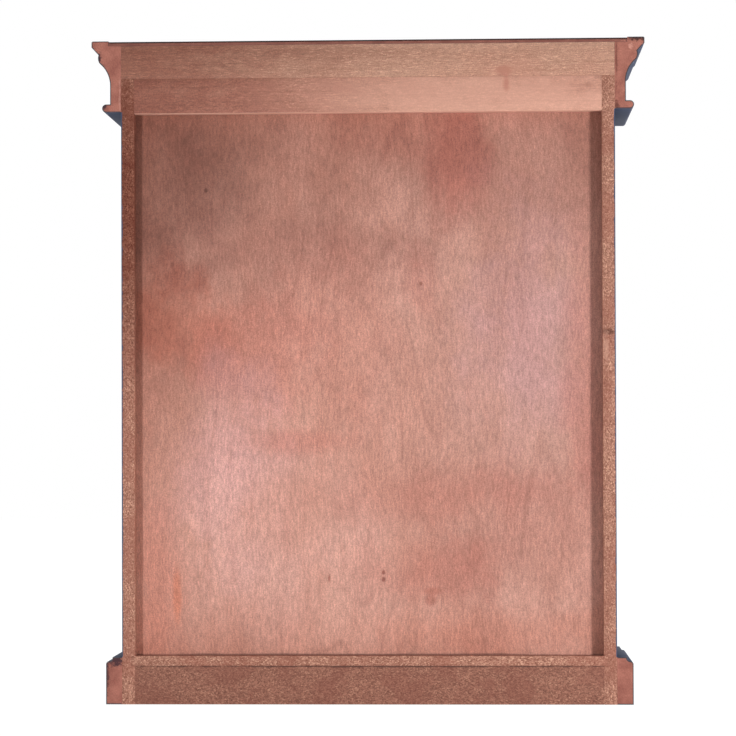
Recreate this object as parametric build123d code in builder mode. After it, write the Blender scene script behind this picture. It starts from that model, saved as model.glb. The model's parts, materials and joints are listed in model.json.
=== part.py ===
from build123d import *
import os

os.makedirs("parts", exist_ok=True)

# A medicine cabinet: a face frame carcass with a mitred crown and base moulding, two mirrored
# doors on butt hinges, and two shelves on pins. It hangs on a wall or stands on its base.
# Sizes are in millimetres. X runs along the width, Y from the doors to the wall, Z up.
# The origin is in the middle of the whole cabinet's length and depth, at its underside.
# Left and right are those of a person who stands in front of the doors.

# Carcass boards
body_width = 608.0
body_depth = 168.0
side_height = 771.0
side_thickness = 16.0
floor_thickness = 12.0
ceiling_thickness = 16.0
dado_depth = 5.0
back_thickness = 4.0
back_groove_depth = 6.0
floor_groove_depth = 4.0
groove_clearance = 0.2
rail_thickness = 16.0
hanging_rail_height = 43.0
upper_rail_height = 41.0
base_rail_height = 47.5
top_board_thickness = 5.0
top_board_clearance = 0.3

# Face frame, which the doors close on
face_thickness = 19.0
face_stile_width = 32.0
door_overlap = 13.0

# Crown moulding, measured outward from the carcass and upward from its underside
crown_height = 88.0
crown_out = 36.5
crown_lip = 1.0
crown_rabbet_width = 15.5
crown_arris = 1.2
bead_out = 23.5
bead_height = 10.0
band_out = 13.5
band_height = 23.0
cove_rise = 28.0
cove_run = 13.3
collar_height = 10.0
collar_bulge = 1.1
collar_out = 27.8
bevel_rise = 9.5

# Base moulding
base_moulding_height = 58.0
base_moulding_thickness = 20.0
base_top_width = 12.0
base_top_quirk = 0.8
base_ogee_height = 8.0

# Doors
door_thickness = 18.0
door_standoff = 1.6
door_reveal = 3.0
door_meeting_gap = 3.0
door_frame_width = 50.0
door_arris = 1.5
glass_lip_width = 7.0
glass_lip_thickness = 3.0
door_ogee_width = 11.0
door_ogee_quirk = 1.0
glass_thickness = 4.0
glass_bevel_width = 20.0
glass_bevel_depth = 1.2
glass_edge_clearance = 0.8
glass_lip_clearance = 0.2
backing_thickness = 3.0

# Butt hinges
hinge_height = 50.0
hinge_inset = 60.0
hinge_knuckles = 3
knuckle_radius = 2.6
knuckle_gap = 0.3
barrel_clearance = 0.3
leaf_width = 22.0
leaf_thickness = 1.2
leaf_spacing = 0.4
mortise_clearance = 0.1
pin_radius = 1.3
pin_clearance = 0.08

# Knobs
knob_length = 25.0
knob_head_radius = 15.0
knob_head_thickness = 8.0
knob_neck_radius = 5.5
knob_foot_radius = 8.5
knob_foot_thickness = 2.5
knob_height = 140.0

# Clips that hold the mirror and its backing board in the door
clip_length = 15.0
clip_width = 9.0
clip_thickness = 1.2
clip_corner = 3.0
clip_on_frame = 8.0
clip_end_distance = 120.0
clip_side_distance = 75.0

# Bumpers, strike plates and magnetic catches
bumper_radius = 4.0
bumper_gap = 0.3
bumper_inset = 14.0
strike_width = 30.0
strike_height = 11.0
strike_thickness = 1.2
strike_corner = 2.75
catch_centre = 62.0
catch_width = 30.0
catch_depth = 16.0
catch_height = 13.0
catch_ear = 9.0
catch_ear_thickness = 3.0
catch_setback = 2.0
catch_air_gap = 0.3
catch_plate_thickness = 5.0
catch_plate_width = 24.0
catch_pocket_depth = 8.0
catch_pocket_clearance = 0.2

# Shelves and their pins
shelf_thickness = 12.0
shelf_depth = 122.0
shelf_end_clearance = 1.0
shelf_back_clearance = 2.0
shelf_edge_round = 2.0
lower_shelf_height = 215.0
upper_shelf_height = 445.0
shelf_holes_each = 2
shelf_hole_pitch = 32.0
shelf_hole_radius = 2.5
shelf_hole_depth = 10.0
front_pin_inset = 30.0
back_pin_inset = 25.0
shelf_pin_clearance = 0.1
shelf_pin_reach = 8.0
shelf_pin_nose = 7.0
shelf_pin_flat = 0.6

# Places that follow from the sizes
knob_depth = body_depth + door_standoff + door_thickness + knob_length
overall_depth = max(body_depth + crown_out, knob_depth)
wall_y = overall_depth / 2
front_y = wall_y - body_depth
side_front_y = front_y + face_thickness
rail_front_y = wall_y - rail_thickness
back_front_y = rail_front_y - back_thickness
half_body = body_width / 2
half_inside = half_body - side_thickness
floor_z = base_rail_height
floor_top = floor_z + floor_thickness
ceiling_z = side_height - ceiling_thickness
upper_rail_top = side_height + upper_rail_height
crown_top = upper_rail_top + top_board_thickness + crown_lip
crown_bottom = crown_top - crown_height
door_bottom = base_moulding_height + door_reveal
door_top = crown_bottom - door_reveal
door_back_y = front_y - door_standoff
door_front_y = door_back_y - door_thickness
door_width = (body_width - door_meeting_gap) / 2
bottom_face_rail_top = door_bottom + door_overlap
top_face_rail_bottom = door_top - door_overlap

forward = Vector(0, -1, 0)
backward = Vector(0, 1, 0)
rightward = Vector(1, 0, 0)
upward = Vector(0, 0, 1)
downward = Vector(0, 0, -1)
leftward = Vector(-1, 0, 0)
sides = {"left": -1, "right": 1}
standing = (Align.CENTER, Align.CENTER, Align.MIN)


def finish(builder, label):
    """Name a finished piece and write it out."""
    builder.part.label = label
    export_step(builder.part, f"parts/{label}.step")


def block(low, high, mode=Mode.ADD):
    """Add or cut a square block between two opposite corners."""
    size = Vector(*high) - Vector(*low)
    with Locations(Vector(*low) + size * 0.5):
        Box(size.X, size.Y, size.Z, mode=mode)


def board(label, low, high):
    """A plain square-edged board between two opposite corners."""
    with BuildPart() as plain_board:
        block(low, high)
    finish(plain_board, label)


def ogee(start, end, tangent):
    """An S-shaped moulding line of two equal arcs."""
    middle = (Vector(*start) + Vector(*end)) * 0.5
    first_arc = TangentArc(start, middle, tangent=tangent)
    TangentArc(middle, end, tangent=first_arc % 1)


def mitred_bar(section, start, end, across, start_lean, end_lean, reach=0):
    """Run a section from start to end. Lean 1 mitres an outside corner, -1 an inside one, 0 is square."""
    along = (end - start).normalized()
    first = start - along * (reach if start_lean else 0)
    last = end + along * (reach if end_lean else 0)
    with BuildPart() as bar:
        with BuildSketch(Plane(origin=first, x_dir=across, z_dir=along)):
            add(section.sketch)
        extrude(amount=(last - first).length)
        if start_lean:
            split(bisect_by=Plane(origin=start, z_dir=along + across * start_lean), keep=Keep.TOP)
        if end_lean:
            split(bisect_by=Plane(origin=end, z_dir=across * end_lean - along), keep=Keep.TOP)
    return bar.part


# Hinges: where each one stands
hinge_centres = (
    door_bottom + hinge_inset + hinge_height / 2,
    door_top - hinge_inset - hinge_height / 2,
)
hinge_axis_y = front_y - door_standoff / 2
mortise_depth = leaf_thickness + leaf_spacing / 2 - door_standoff / 2
knuckle_pitch = hinge_height / hinge_knuckles


def hinge_axis_x(hand):
    """The barrel stands just outside the carcass, beside the door's hinged edge."""
    return hand * (half_body + barrel_clearance + knuckle_radius)


def cut_leaf_mortises(hand, facing):
    """Recesses for the leaves, in the piece being built; facing is the way its wood face looks."""
    wood_face_y = hinge_axis_y - facing.Y * door_standoff / 2
    recess_floor_y = wood_face_y - facing.Y * mortise_depth
    for centre_z in hinge_centres:
        half_height = hinge_height / 2 + mortise_clearance
        block(
            (min(hand * half_body, hand * (half_body - leaf_width - mortise_clearance)),
             min(wood_face_y, recess_floor_y), centre_z - half_height),
            (max(hand * half_body, hand * (half_body - leaf_width - mortise_clearance)),
             max(wood_face_y, recess_floor_y), centre_z + half_height),
            mode=Mode.SUBTRACT,
        )


def hinge_leaves(label, hand, facing, knuckles):
    """Both leaves of one side: plates with rolled knuckles, bored for the pins."""
    axis_x = hinge_axis_x(hand)
    near_y = hinge_axis_y - facing.Y * leaf_spacing / 2
    far_y = near_y - facing.Y * leaf_thickness
    low_y = min(near_y, far_y)
    high_y = max(near_y, far_y)
    outer_x = hand * half_body
    inner_x = hand * (half_body - leaf_width)
    with BuildPart() as leaves:
        for centre_z in hinge_centres:
            bottom_z = centre_z - hinge_height / 2
            block(
                (min(outer_x, inner_x), low_y, bottom_z),
                (max(outer_x, inner_x), high_y, bottom_z + hinge_height),
            )
            for index in knuckles:
                low_z = bottom_z + index * knuckle_pitch + knuckle_gap / 2
                high_z = bottom_z + (index + 1) * knuckle_pitch - knuckle_gap / 2
                block((min(outer_x, axis_x), low_y, low_z), (max(outer_x, axis_x), high_y, high_z))
                with BuildSketch(Plane.XY.offset(low_z)):
                    with Locations((axis_x, hinge_axis_y)):
                        Circle(knuckle_radius)
                extrude(amount=high_z - low_z)
            with BuildSketch(Plane.XY.offset(bottom_z)):
                with Locations((axis_x, hinge_axis_y)):
                    Circle(pin_radius + pin_clearance)
            extrude(amount=hinge_height, mode=Mode.SUBTRACT)
    finish(leaves, label)


def hinge_pins(label, hand):
    """A pin through each hinge barrel, as long as the barrel."""
    with BuildPart() as pins:
        for centre_z in hinge_centres:
            with Locations((hinge_axis_x(hand), hinge_axis_y, centre_z)):
                Cylinder(pin_radius, hinge_height)
    finish(pins, label)


# Side panels, with dadoes for the floor and ceiling, a groove for the back, and shelf pin holes.
# The holes go up from each shelf's pins, so a shelf can be set higher.
front_pin_y = side_front_y + front_pin_inset
back_pin_y = back_front_y - back_pin_inset
lower_shelf_z = floor_top + lower_shelf_height
upper_shelf_z = floor_top + upper_shelf_height
shelf_pin_radius = shelf_hole_radius - shelf_pin_clearance
shelf_pin_heights = [z + shelf_pin_flat - shelf_pin_radius for z in (lower_shelf_z, upper_shelf_z)]

for side, hand in sides.items():
    inner_x = hand * half_inside
    with BuildPart() as side_panel:
        with BuildSketch():
            with Locations((hand * (half_body - side_thickness / 2), (side_front_y + wall_y) / 2)):
                Rectangle(side_thickness, wall_y - side_front_y)
        extrude(amount=side_height)
        dado_x = sorted((inner_x, inner_x + hand * dado_depth))
        block((dado_x[0], side_front_y, floor_z), (dado_x[1], wall_y, floor_top), mode=Mode.SUBTRACT)
        block(
            (dado_x[0], side_front_y, ceiling_z),
            (dado_x[1], back_front_y, side_height),
            mode=Mode.SUBTRACT,
        )
        groove_x = sorted((inner_x, inner_x + hand * back_groove_depth))
        block(
            (groove_x[0], back_front_y - groove_clearance, floor_z),
            (groove_x[1], rail_front_y, side_height),
            mode=Mode.SUBTRACT,
        )
        hole_plane = Plane(origin=(inner_x, 0, 0), x_dir=(0, -hand, 0), z_dir=(-hand, 0, 0))
        with BuildSketch(hole_plane):
            for pin_z in shelf_pin_heights:
                middle_z = pin_z + (shelf_holes_each - 1) * shelf_hole_pitch / 2
                with Locations((-hand * (front_pin_y + back_pin_y) / 2, middle_z)):
                    with GridLocations(back_pin_y - front_pin_y, shelf_hole_pitch, 2, shelf_holes_each):
                        Circle(shelf_hole_radius)
        extrude(amount=-shelf_hole_depth, mode=Mode.SUBTRACT)
    finish(side_panel, f"{side}_side_panel")

# Floor panel, grooved for the lower edge of the back
with BuildPart() as floor_panel:
    block(
        (-half_inside - dado_depth, side_front_y, floor_z),
        (half_inside + dado_depth, wall_y, floor_top),
    )
    block(
        (-half_inside - dado_depth, back_front_y - groove_clearance, floor_top - floor_groove_depth),
        (half_inside + dado_depth, rail_front_y, floor_top),
        mode=Mode.SUBTRACT,
    )
finish(floor_panel, "floor_panel")

# Ceiling, back and rails
board(
    "ceiling_panel",
    (-half_inside - dado_depth, side_front_y, ceiling_z),
    (half_inside + dado_depth, back_front_y, side_height),
)
board(
    "back_panel",
    (-half_inside - back_groove_depth + groove_clearance, back_front_y, floor_top - floor_groove_depth),
    (half_inside + back_groove_depth - groove_clearance, rail_front_y, side_height),
)
board(
    "hanging_rail",
    (-half_inside, rail_front_y, side_height - hanging_rail_height),
    (half_inside, wall_y, side_height),
)
board(
    "upper_back_rail",
    (-half_body, rail_front_y, side_height),
    (half_body, wall_y, upper_rail_top),
)
board("base_back_rail", (-half_inside, rail_front_y, 0), (half_inside, wall_y, base_rail_height))
board("upper_front_rail", (-half_body, front_y, side_height), (half_body, side_front_y, upper_rail_top))

# Face frame: stiles over the front edges of the sides, rails between them
for side, hand in sides.items():
    stile_x = sorted((hand * half_body, hand * (half_body - face_stile_width)))
    with BuildPart() as face_stile:
        block((stile_x[0], front_y, 0), (stile_x[1], side_front_y, side_height))
        cut_leaf_mortises(hand, forward)
    finish(face_stile, f"{side}_face_stile")

half_face_opening = half_body - face_stile_width
board(
    "bottom_face_rail",
    (-half_face_opening, front_y, 0),
    (half_face_opening, side_front_y, bottom_face_rail_top),
)
board(
    "top_face_rail",
    (-half_face_opening, front_y, top_face_rail_bottom),
    (half_face_opening, side_front_y, side_height),
)

# Crown moulding: bead, flat band, cove, collar, bevel and top fillet, rabbeted for the top board
bead_radius = bead_height / 2
bead_start = bead_out - bead_radius
cove_start = bead_height + band_height
cove_end = cove_start + cove_rise
collar_top = cove_end + collar_height
crown_rabbet_z = crown_height - crown_lip - top_board_thickness
with BuildSketch() as crown_section:
    with BuildLine():
        Line((0, 0), (bead_start, 0))
        ThreePointArc((bead_start, 0), (bead_out, bead_radius), (bead_start, bead_height))
        Polyline((bead_start, bead_height), (band_out, bead_height), (band_out, cove_start))
        TangentArc((band_out, cove_start), (band_out + cove_run, cove_end), tangent=(0, 1))
        SagittaArc((band_out + cove_run, cove_end), (collar_out, collar_top), -collar_bulge)
        Polyline(
            (collar_out, collar_top),
            (crown_out, collar_top + bevel_rise),
            (crown_out, crown_height - crown_arris),
            (crown_out - crown_arris, crown_height),
            (crown_rabbet_width, crown_height),
            (crown_rabbet_width, crown_rabbet_z),
            (0, crown_rabbet_z),
            (0, 0),
        )
    make_face()

front_left = Vector(-half_body, front_y, 0)
front_right = Vector(half_body, front_y, 0)
wall_left = Vector(-half_body, wall_y, 0)
wall_right = Vector(half_body, wall_y, 0)


def moulding_piece(label, section, start, end, across, start_lean, end_lean, reach):
    """One length of the crown or the base moulding."""
    with BuildPart() as moulding:
        add(mitred_bar(section, start, end, across, start_lean, end_lean, reach))
    finish(moulding, label)


def moulding_round(name, section, bottom_z, reach):
    """Right return, front and left return, mitred at the two front corners."""
    lift = upward * bottom_z
    right_run = (wall_right + lift, front_right + lift)
    front_run = (front_right + lift, front_left + lift)
    left_run = (front_left + lift, wall_left + lift)
    moulding_piece(f"{name}_right", section, *right_run, rightward, 0, 1, reach)
    moulding_piece(f"{name}_front", section, *front_run, forward, 1, 1, reach)
    moulding_piece(f"{name}_left", section, *left_run, leftward, 1, 0, reach)


moulding_round("crown", crown_section, crown_bottom, crown_out)

# Top board, let into the rabbet that runs round the crown
board_overhang = crown_rabbet_width - top_board_clearance
board(
    "top_board",
    (-half_body - board_overhang, front_y - board_overhang, upper_rail_top),
    (half_body + board_overhang, wall_y, upper_rail_top + top_board_thickness),
)

# Base moulding: a plain face with an ogee and a small step under its flat top
base_ogee_top = base_moulding_height - base_top_quirk
base_ogee_bottom = base_ogee_top - base_ogee_height
with BuildSketch() as base_section:
    with BuildLine():
        Polyline((0, 0), (base_moulding_thickness, 0), (base_moulding_thickness, base_ogee_bottom))
        ogee((base_moulding_thickness, base_ogee_bottom), (base_top_width, base_ogee_top), (0, 1))
        Polyline(
            (base_top_width, base_ogee_top),
            (base_top_width, base_moulding_height),
            (0, base_moulding_height),
            (0, 0),
        )
    make_face()

moulding_round("base_moulding", base_section, 0, base_moulding_thickness)


# Door frame section: inward from the door's edge, and forward from its back.
# The rabbet is deep enough for the backing board and the rim of the bevelled mirror.
glass_rim_thickness = glass_thickness - glass_bevel_depth
bevel_rise_at_lip = glass_bevel_depth * (glass_lip_width - glass_edge_clearance) / glass_bevel_width
glass_rabbet_depth = backing_thickness + glass_rim_thickness + bevel_rise_at_lip + glass_lip_clearance
glass_rabbet_u = door_frame_width - glass_lip_width
glass_lip_front = glass_rabbet_depth + glass_lip_thickness
door_ogee_start = door_frame_width - door_ogee_width
door_ogee_top = door_thickness - door_ogee_quirk
with BuildSketch() as door_section:
    with BuildLine():
        Polyline(
            (glass_rabbet_u, glass_rabbet_depth),
            (glass_rabbet_u, 0),
            (0, 0),
            (0, door_thickness - door_arris),
            (door_arris, door_thickness),
            (door_ogee_start, door_thickness),
            (door_ogee_start, door_ogee_top),
        )
        ogee((door_ogee_start, door_ogee_top), (door_frame_width, glass_lip_front), (1, 0))
        Polyline(
            (door_frame_width, glass_lip_front),
            (door_frame_width, glass_rabbet_depth),
            (glass_rabbet_u, glass_rabbet_depth),
        )
    make_face()


def clip_planes(left_x, right_x):
    """A plane for each clip on the frame's back, at the rabbet's edge; its own X points at the glass."""
    places = []
    for z in (door_bottom + clip_end_distance, door_top - clip_end_distance):
        places.append(((left_x + glass_rabbet_u, z), rightward))
        places.append(((right_x - glass_rabbet_u, z), leftward))
    for x in (left_x + clip_side_distance, right_x - clip_side_distance):
        places.append(((x, door_bottom + glass_rabbet_u), upward))
        places.append(((x, door_top - glass_rabbet_u), downward))
    return [
        Plane(origin=(x, door_back_y, z), x_dir=toward_glass, z_dir=backward)
        for (x, z), toward_glass in places
    ]


def mirror_clips(label, planes):
    """Flat clips with one clipped-off end, lying on the frame and over the rim of the backing board."""
    with BuildPart() as clips:
        for plane in planes:
            with BuildSketch(plane):
                with Locations((clip_length / 2 - clip_on_frame, 0)):
                    Rectangle(clip_length, clip_width)
                chamfer(vertices().group_by(Axis((0, 0, 0), plane.x_dir))[0], clip_corner)
            extrude(amount=clip_thickness)
    finish(clips, label)


def knob(label, x, z):
    """A turned knob: a foot, a straight neck and a thick round head."""
    neck_length = knob_length - knob_head_thickness
    with BuildPart(Plane(origin=(x, door_front_y, z), z_dir=forward)) as turned_knob:
        Cylinder(knob_foot_radius, knob_foot_thickness, align=standing)
        Cylinder(knob_neck_radius, neck_length, align=standing)
        with Locations((0, 0, neck_length)):
            Cylinder(knob_head_radius, knob_head_thickness, align=standing)
    finish(turned_knob, label)


strike_z = top_face_rail_bottom - catch_height / 2
knob_z = door_bottom + knob_height

for side, hand in sides.items():
    hinge_x = hand * half_body
    meeting_x = hand * door_meeting_gap / 2
    left_x = min(hinge_x, meeting_x)
    right_x = max(hinge_x, meeting_x)
    low_left = Vector(left_x, door_back_y, door_bottom)
    low_right = Vector(right_x, door_back_y, door_bottom)
    high_left = Vector(left_x, door_back_y, door_top)
    high_right = Vector(right_x, door_back_y, door_top)
    knob_x = meeting_x + hand * door_ogee_start / 2
    mirror_clip_planes = clip_planes(left_x, right_x)
    strike_plane = Plane(
        origin=(hand * catch_centre, door_back_y, strike_z), x_dir=rightward, z_dir=backward
    )

    # The frame runs round the door: each member starts at the corner where the last one ends
    left_stile = (high_left, low_left, rightward)
    right_stile = (low_right, high_right, leftward)
    hinge_run, meeting_run = (left_stile, right_stile) if hand < 0 else (right_stile, left_stile)
    member_runs = {
        "hinge_stile": hinge_run,
        "meeting_stile": meeting_run,
        "top_rail": (high_right, high_left, downward),
        "bottom_rail": (low_left, low_right, upward),
    }
    for member, (start, end, inward) in member_runs.items():
        with BuildPart() as frame_member:
            add(mitred_bar(door_section, start, end, inward, -1, -1))
            if member == "hinge_stile":
                cut_leaf_mortises(hand, backward)
        finish(frame_member, f"{side}_door_{member}")

    # Mirror glass with a wide bevel round its front, and the board behind it
    glass_inset = glass_rabbet_u + glass_edge_clearance
    glass_width = door_width - 2 * glass_inset
    glass_height = door_top - door_bottom - 2 * glass_inset
    glass_centre = ((left_x + right_x) / 2, (door_bottom + door_top) / 2)
    glass_back_y = door_back_y - backing_thickness
    bevel_start = Plane.XZ.offset(glass_rim_thickness - glass_back_y)
    with BuildPart() as mirror_glass:
        with BuildSketch(Plane.XZ.offset(-glass_back_y)):
            with Locations(glass_centre):
                Rectangle(glass_width, glass_height)
        extrude(amount=glass_rim_thickness)
        with BuildSketch(bevel_start):
            with Locations(glass_centre):
                Rectangle(glass_width, glass_height)
        with BuildSketch(bevel_start.offset(glass_bevel_depth)):
            with Locations(glass_centre):
                Rectangle(glass_width - 2 * glass_bevel_width, glass_height - 2 * glass_bevel_width)
        loft()
    finish(mirror_glass, f"{side}_door_mirror")
    board(
        f"{side}_door_backing_board",
        (left_x + glass_inset, glass_back_y, door_bottom + glass_inset),
        (right_x - glass_inset, door_back_y, door_top - glass_inset),
    )
    mirror_clips(f"{side}_door_mirror_clips", mirror_clip_planes)

    # Strike plate for the catch
    with BuildPart() as strike_plate:
        with BuildSketch(strike_plane):
            RectangleRounded(strike_width, strike_height, strike_corner)
        extrude(amount=strike_thickness)
    finish(strike_plate, f"{side}_door_strike_plate")

    # Soft bumpers on the back of the meeting stile
    with BuildPart() as bumpers:
        for z in (door_bottom + door_overlap / 2, door_top - door_overlap / 2):
            bumper_x = meeting_x + hand * bumper_inset
            with Locations(Plane(origin=(bumper_x, door_back_y, z), z_dir=backward)):
                Cylinder(bumper_radius, door_standoff - bumper_gap, align=standing)
    finish(bumpers, f"{side}_door_bumpers")

    knob(f"{side}_door_knob", knob_x, knob_z)

    # Hinges: the frame's leaves take the outer knuckles, the door's leaves the ones between
    hinge_leaves(f"{side}_hinge_frame_leaves", hand, forward, range(0, hinge_knuckles, 2))
    hinge_leaves(f"{side}_hinge_door_leaves", hand, backward, range(1, hinge_knuckles, 2))
    hinge_pins(f"{side}_hinge_pins", hand)

# Magnetic catches under the top face rail: a housing with two ears and a pocket, and a magnet
# whose face meets the strike
catch_front_y = front_y + catch_setback
catch_back_y = catch_front_y + catch_depth
pole_face_y = door_back_y + strike_thickness + catch_air_gap
with BuildPart() as catch_housings:
    for hand in sides.values():
        low_x = hand * catch_centre - catch_width / 2
        high_x = hand * catch_centre + catch_width / 2
        block(
            (low_x, catch_front_y, top_face_rail_bottom - catch_height),
            (high_x, catch_back_y, top_face_rail_bottom),
        )
        block(
            (low_x - catch_ear, catch_front_y, top_face_rail_bottom - catch_ear_thickness),
            (high_x + catch_ear, catch_back_y, top_face_rail_bottom),
        )
        pocket_half_width = catch_plate_width / 2 + catch_pocket_clearance
        pocket_half_height = catch_plate_thickness / 2 + catch_pocket_clearance
        block(
            (hand * catch_centre - pocket_half_width, catch_front_y, strike_z - pocket_half_height),
            (
                hand * catch_centre + pocket_half_width,
                catch_front_y + catch_pocket_depth,
                strike_z + pocket_half_height,
            ),
            mode=Mode.SUBTRACT,
        )
finish(catch_housings, "catch_housings")

with BuildPart() as catch_magnets:
    for hand in sides.values():
        block(
            (hand * catch_centre - catch_plate_width / 2, pole_face_y, strike_z - catch_plate_thickness / 2),
            (
                hand * catch_centre + catch_plate_width / 2,
                catch_front_y + catch_pocket_depth,
                strike_z + catch_plate_thickness / 2,
            ),
        )
finish(catch_magnets, "catch_magnets")

# Two loose shelves with rounded front edges, and the eight pins that carry them
shelf_back_y = back_front_y - shelf_back_clearance
for level, shelf_z in (("lower", lower_shelf_z), ("upper", upper_shelf_z)):
    with BuildPart() as shelf:
        block(
            (-half_inside + shelf_end_clearance, shelf_back_y - shelf_depth, shelf_z),
            (half_inside - shelf_end_clearance, shelf_back_y, shelf_z + shelf_thickness),
        )
        fillet(edges().filter_by(Axis.X).group_by(Axis.Y)[0], shelf_edge_round)
    finish(shelf, f"{level}_shelf")

with BuildPart() as shelf_pins:
    for hand in sides.values():
        for pin_z in shelf_pin_heights:
            for pin_y in (front_pin_y, back_pin_y):
                hole_end_x = hand * (half_inside + shelf_pin_reach)
                with Locations(Plane(origin=(hole_end_x, pin_y, pin_z), z_dir=(-hand, 0, 0))):
                    Cylinder(shelf_pin_radius, shelf_pin_reach + shelf_pin_nose, align=standing)
    for shelf_z in (lower_shelf_z, upper_shelf_z):
        block(
            (-half_inside, side_front_y, shelf_z),
            (half_inside, back_front_y, shelf_z + shelf_pin_radius),
            mode=Mode.SUBTRACT,
        )
finish(shelf_pins, "shelf_pins")
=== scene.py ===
# %% [markdown]
# # A medicine cabinet, seen from behind
# The CAD model gives the cabinet's boards, mouldings, doors and hinges at their real sizes. This
# file dresses them: it rounds the edges of the boards, drives the screws, paints or leaves bare
# each face, and sets up a small studio. The photograph shows the back, which faces a wall in use,
# so the raw wood there gets the most care.

# %% Load the CAD model
import bmesh
import bpy
import json
from math import atan2, radians
from mathutils import Matrix, Quaternion, Vector

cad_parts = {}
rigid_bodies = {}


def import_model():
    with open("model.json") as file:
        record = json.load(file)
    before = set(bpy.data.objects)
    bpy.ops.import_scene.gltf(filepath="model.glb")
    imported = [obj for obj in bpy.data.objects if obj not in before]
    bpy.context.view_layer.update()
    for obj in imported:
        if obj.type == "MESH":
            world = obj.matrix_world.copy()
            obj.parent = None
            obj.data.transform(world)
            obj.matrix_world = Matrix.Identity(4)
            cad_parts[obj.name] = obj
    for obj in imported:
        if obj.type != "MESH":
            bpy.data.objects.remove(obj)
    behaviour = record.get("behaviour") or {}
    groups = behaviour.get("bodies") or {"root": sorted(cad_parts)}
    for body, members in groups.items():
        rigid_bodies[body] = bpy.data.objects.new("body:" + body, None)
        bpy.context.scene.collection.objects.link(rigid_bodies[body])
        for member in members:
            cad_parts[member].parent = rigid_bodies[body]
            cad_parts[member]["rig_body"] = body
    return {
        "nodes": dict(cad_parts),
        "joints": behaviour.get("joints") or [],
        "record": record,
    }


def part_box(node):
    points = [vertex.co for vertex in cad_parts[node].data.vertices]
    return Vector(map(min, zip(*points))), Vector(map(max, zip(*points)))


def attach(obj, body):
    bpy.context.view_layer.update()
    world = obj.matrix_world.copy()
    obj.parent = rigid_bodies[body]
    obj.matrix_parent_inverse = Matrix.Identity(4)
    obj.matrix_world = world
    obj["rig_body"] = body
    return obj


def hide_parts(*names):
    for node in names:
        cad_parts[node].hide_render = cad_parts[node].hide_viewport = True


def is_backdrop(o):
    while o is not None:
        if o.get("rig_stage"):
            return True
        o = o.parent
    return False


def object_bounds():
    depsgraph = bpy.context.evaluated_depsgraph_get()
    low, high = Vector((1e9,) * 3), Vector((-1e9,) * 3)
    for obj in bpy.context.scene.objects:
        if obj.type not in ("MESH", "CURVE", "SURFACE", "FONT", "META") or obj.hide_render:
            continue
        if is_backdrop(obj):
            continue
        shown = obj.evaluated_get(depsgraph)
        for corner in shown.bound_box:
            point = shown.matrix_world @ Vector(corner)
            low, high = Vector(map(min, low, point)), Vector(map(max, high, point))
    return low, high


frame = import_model()
cad_low, cad_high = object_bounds()
print("CAD box in metres:", tuple(cad_low), tuple(cad_high))

# %% [markdown]
# ## Where the photograph's pixels lie on the cabinet
# A knot or a stain is easiest to place where it was seen. One pixel of the photograph covers a
# known length on the cabinet's rear plane, and the picture looks at that plane square on, so one
# factor turns a pixel into metres. The image's left is the cabinet's right, because it is seen
# from behind.

# %% From photo pixels to metres
PIXEL = 0.0012316
PHOTO_MIDDLE = 368
PHOTO_BOTTOM = 704
MILLIMETRE = 0.001
REAR_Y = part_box("hanging_rail")[1].y
RECESS_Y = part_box("back_panel")[1].y
SIDE_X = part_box("right_side_panel")[1].x


def photo_x(column):
    return (PHOTO_MIDDLE - column) * PIXEL


def photo_z(row):
    return (PHOTO_BOTTOM - row) * PIXEL


print("rear plane at y =", round(REAR_Y, 4), "and the back panel at", round(RECESS_Y, 4))
print("one pixel is", round(PIXEL / MILLIMETRE, 2), "mm")

# %% [markdown]
# ## Helpers for materials
# Every finish here is a node tree that reads Object coordinates, which are metres measured from
# the cabinet's origin. That way a grain line has a real width on every board, whatever its size,
# and nothing has to be unwrapped. These few functions keep the trees short to write: one adds a
# node, and the others are the nodes that come again and again.

# %% Node helpers
def put(tree, kind, links=None, **settings):
    """Add a node. Links go to its sockets, as numbers or as other nodes' outputs."""
    made = tree.nodes.new(kind)
    for name, value in settings.items():
        setattr(made, name, value)
    for name, value in (links or {}).items():
        if isinstance(value, bpy.types.NodeSocket):
            tree.links.new(value, made.inputs[name])
        else:
            made.inputs[name].default_value = value
    return made


def calc(tree, operation, *values):
    return put(tree, "ShaderNodeMath", dict(enumerate(values)), operation=operation).outputs[0]


def rise(tree, value, low, high):
    """0 below low, 1 above high, and a smooth step between."""
    limits = {"Value": value, "From Min": low, "From Max": high}
    return put(tree, "ShaderNodeMapRange", limits, interpolation_type="SMOOTHSTEP").outputs[0]


def mix(tree, amount, first, second, blend="MIX"):
    sockets = {0: amount, 6: first, 7: second}
    return put(tree, "ShaderNodeMix", sockets, data_type="RGBA", blend_type=blend).outputs[2]


def glaze(tree, base, tone, amount, strength):
    """Lay a thin colour over another, where an amount from 0 to 1 says."""
    return mix(tree, calc(tree, "MULTIPLY", amount, strength), base, tone)


def shade(tree, tone, value, swing):
    """Darken and lighten a colour as a noise swings about its middle of a half."""
    level = calc(tree, "MULTIPLY_ADD", calc(tree, "SUBTRACT", value, 0.5), 2 * swing, 1.0)
    return put(tree, "ShaderNodeVectorMath", {0: tone, "Scale": level}, operation="SCALE").outputs[0]


def noise(tree, place, per_metre, detail=3.0, roughness=0.5, offset=(0, 0, 0)):
    """Smooth noise, with so many cells in a metre along each axis."""
    scaled = put(tree, "ShaderNodeMapping", {"Vector": place, "Scale": per_metre, "Location": offset})
    sockets = {"Vector": scaled.outputs[0], "Scale": 1.0, "Detail": detail, "Roughness": roughness}
    return put(tree, "ShaderNodeTexNoise", sockets).outputs[0]


def colour(red, green, blue):
    """A colour as a picture editor shows it, turned into Blender's linear one."""
    def linear(level):
        share = level / 255
        return share / 12.92 if share <= 0.04045 else ((share + 0.055) / 1.055) ** 2.4
    return (linear(red), linear(green), linear(blue), 1.0)


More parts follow.
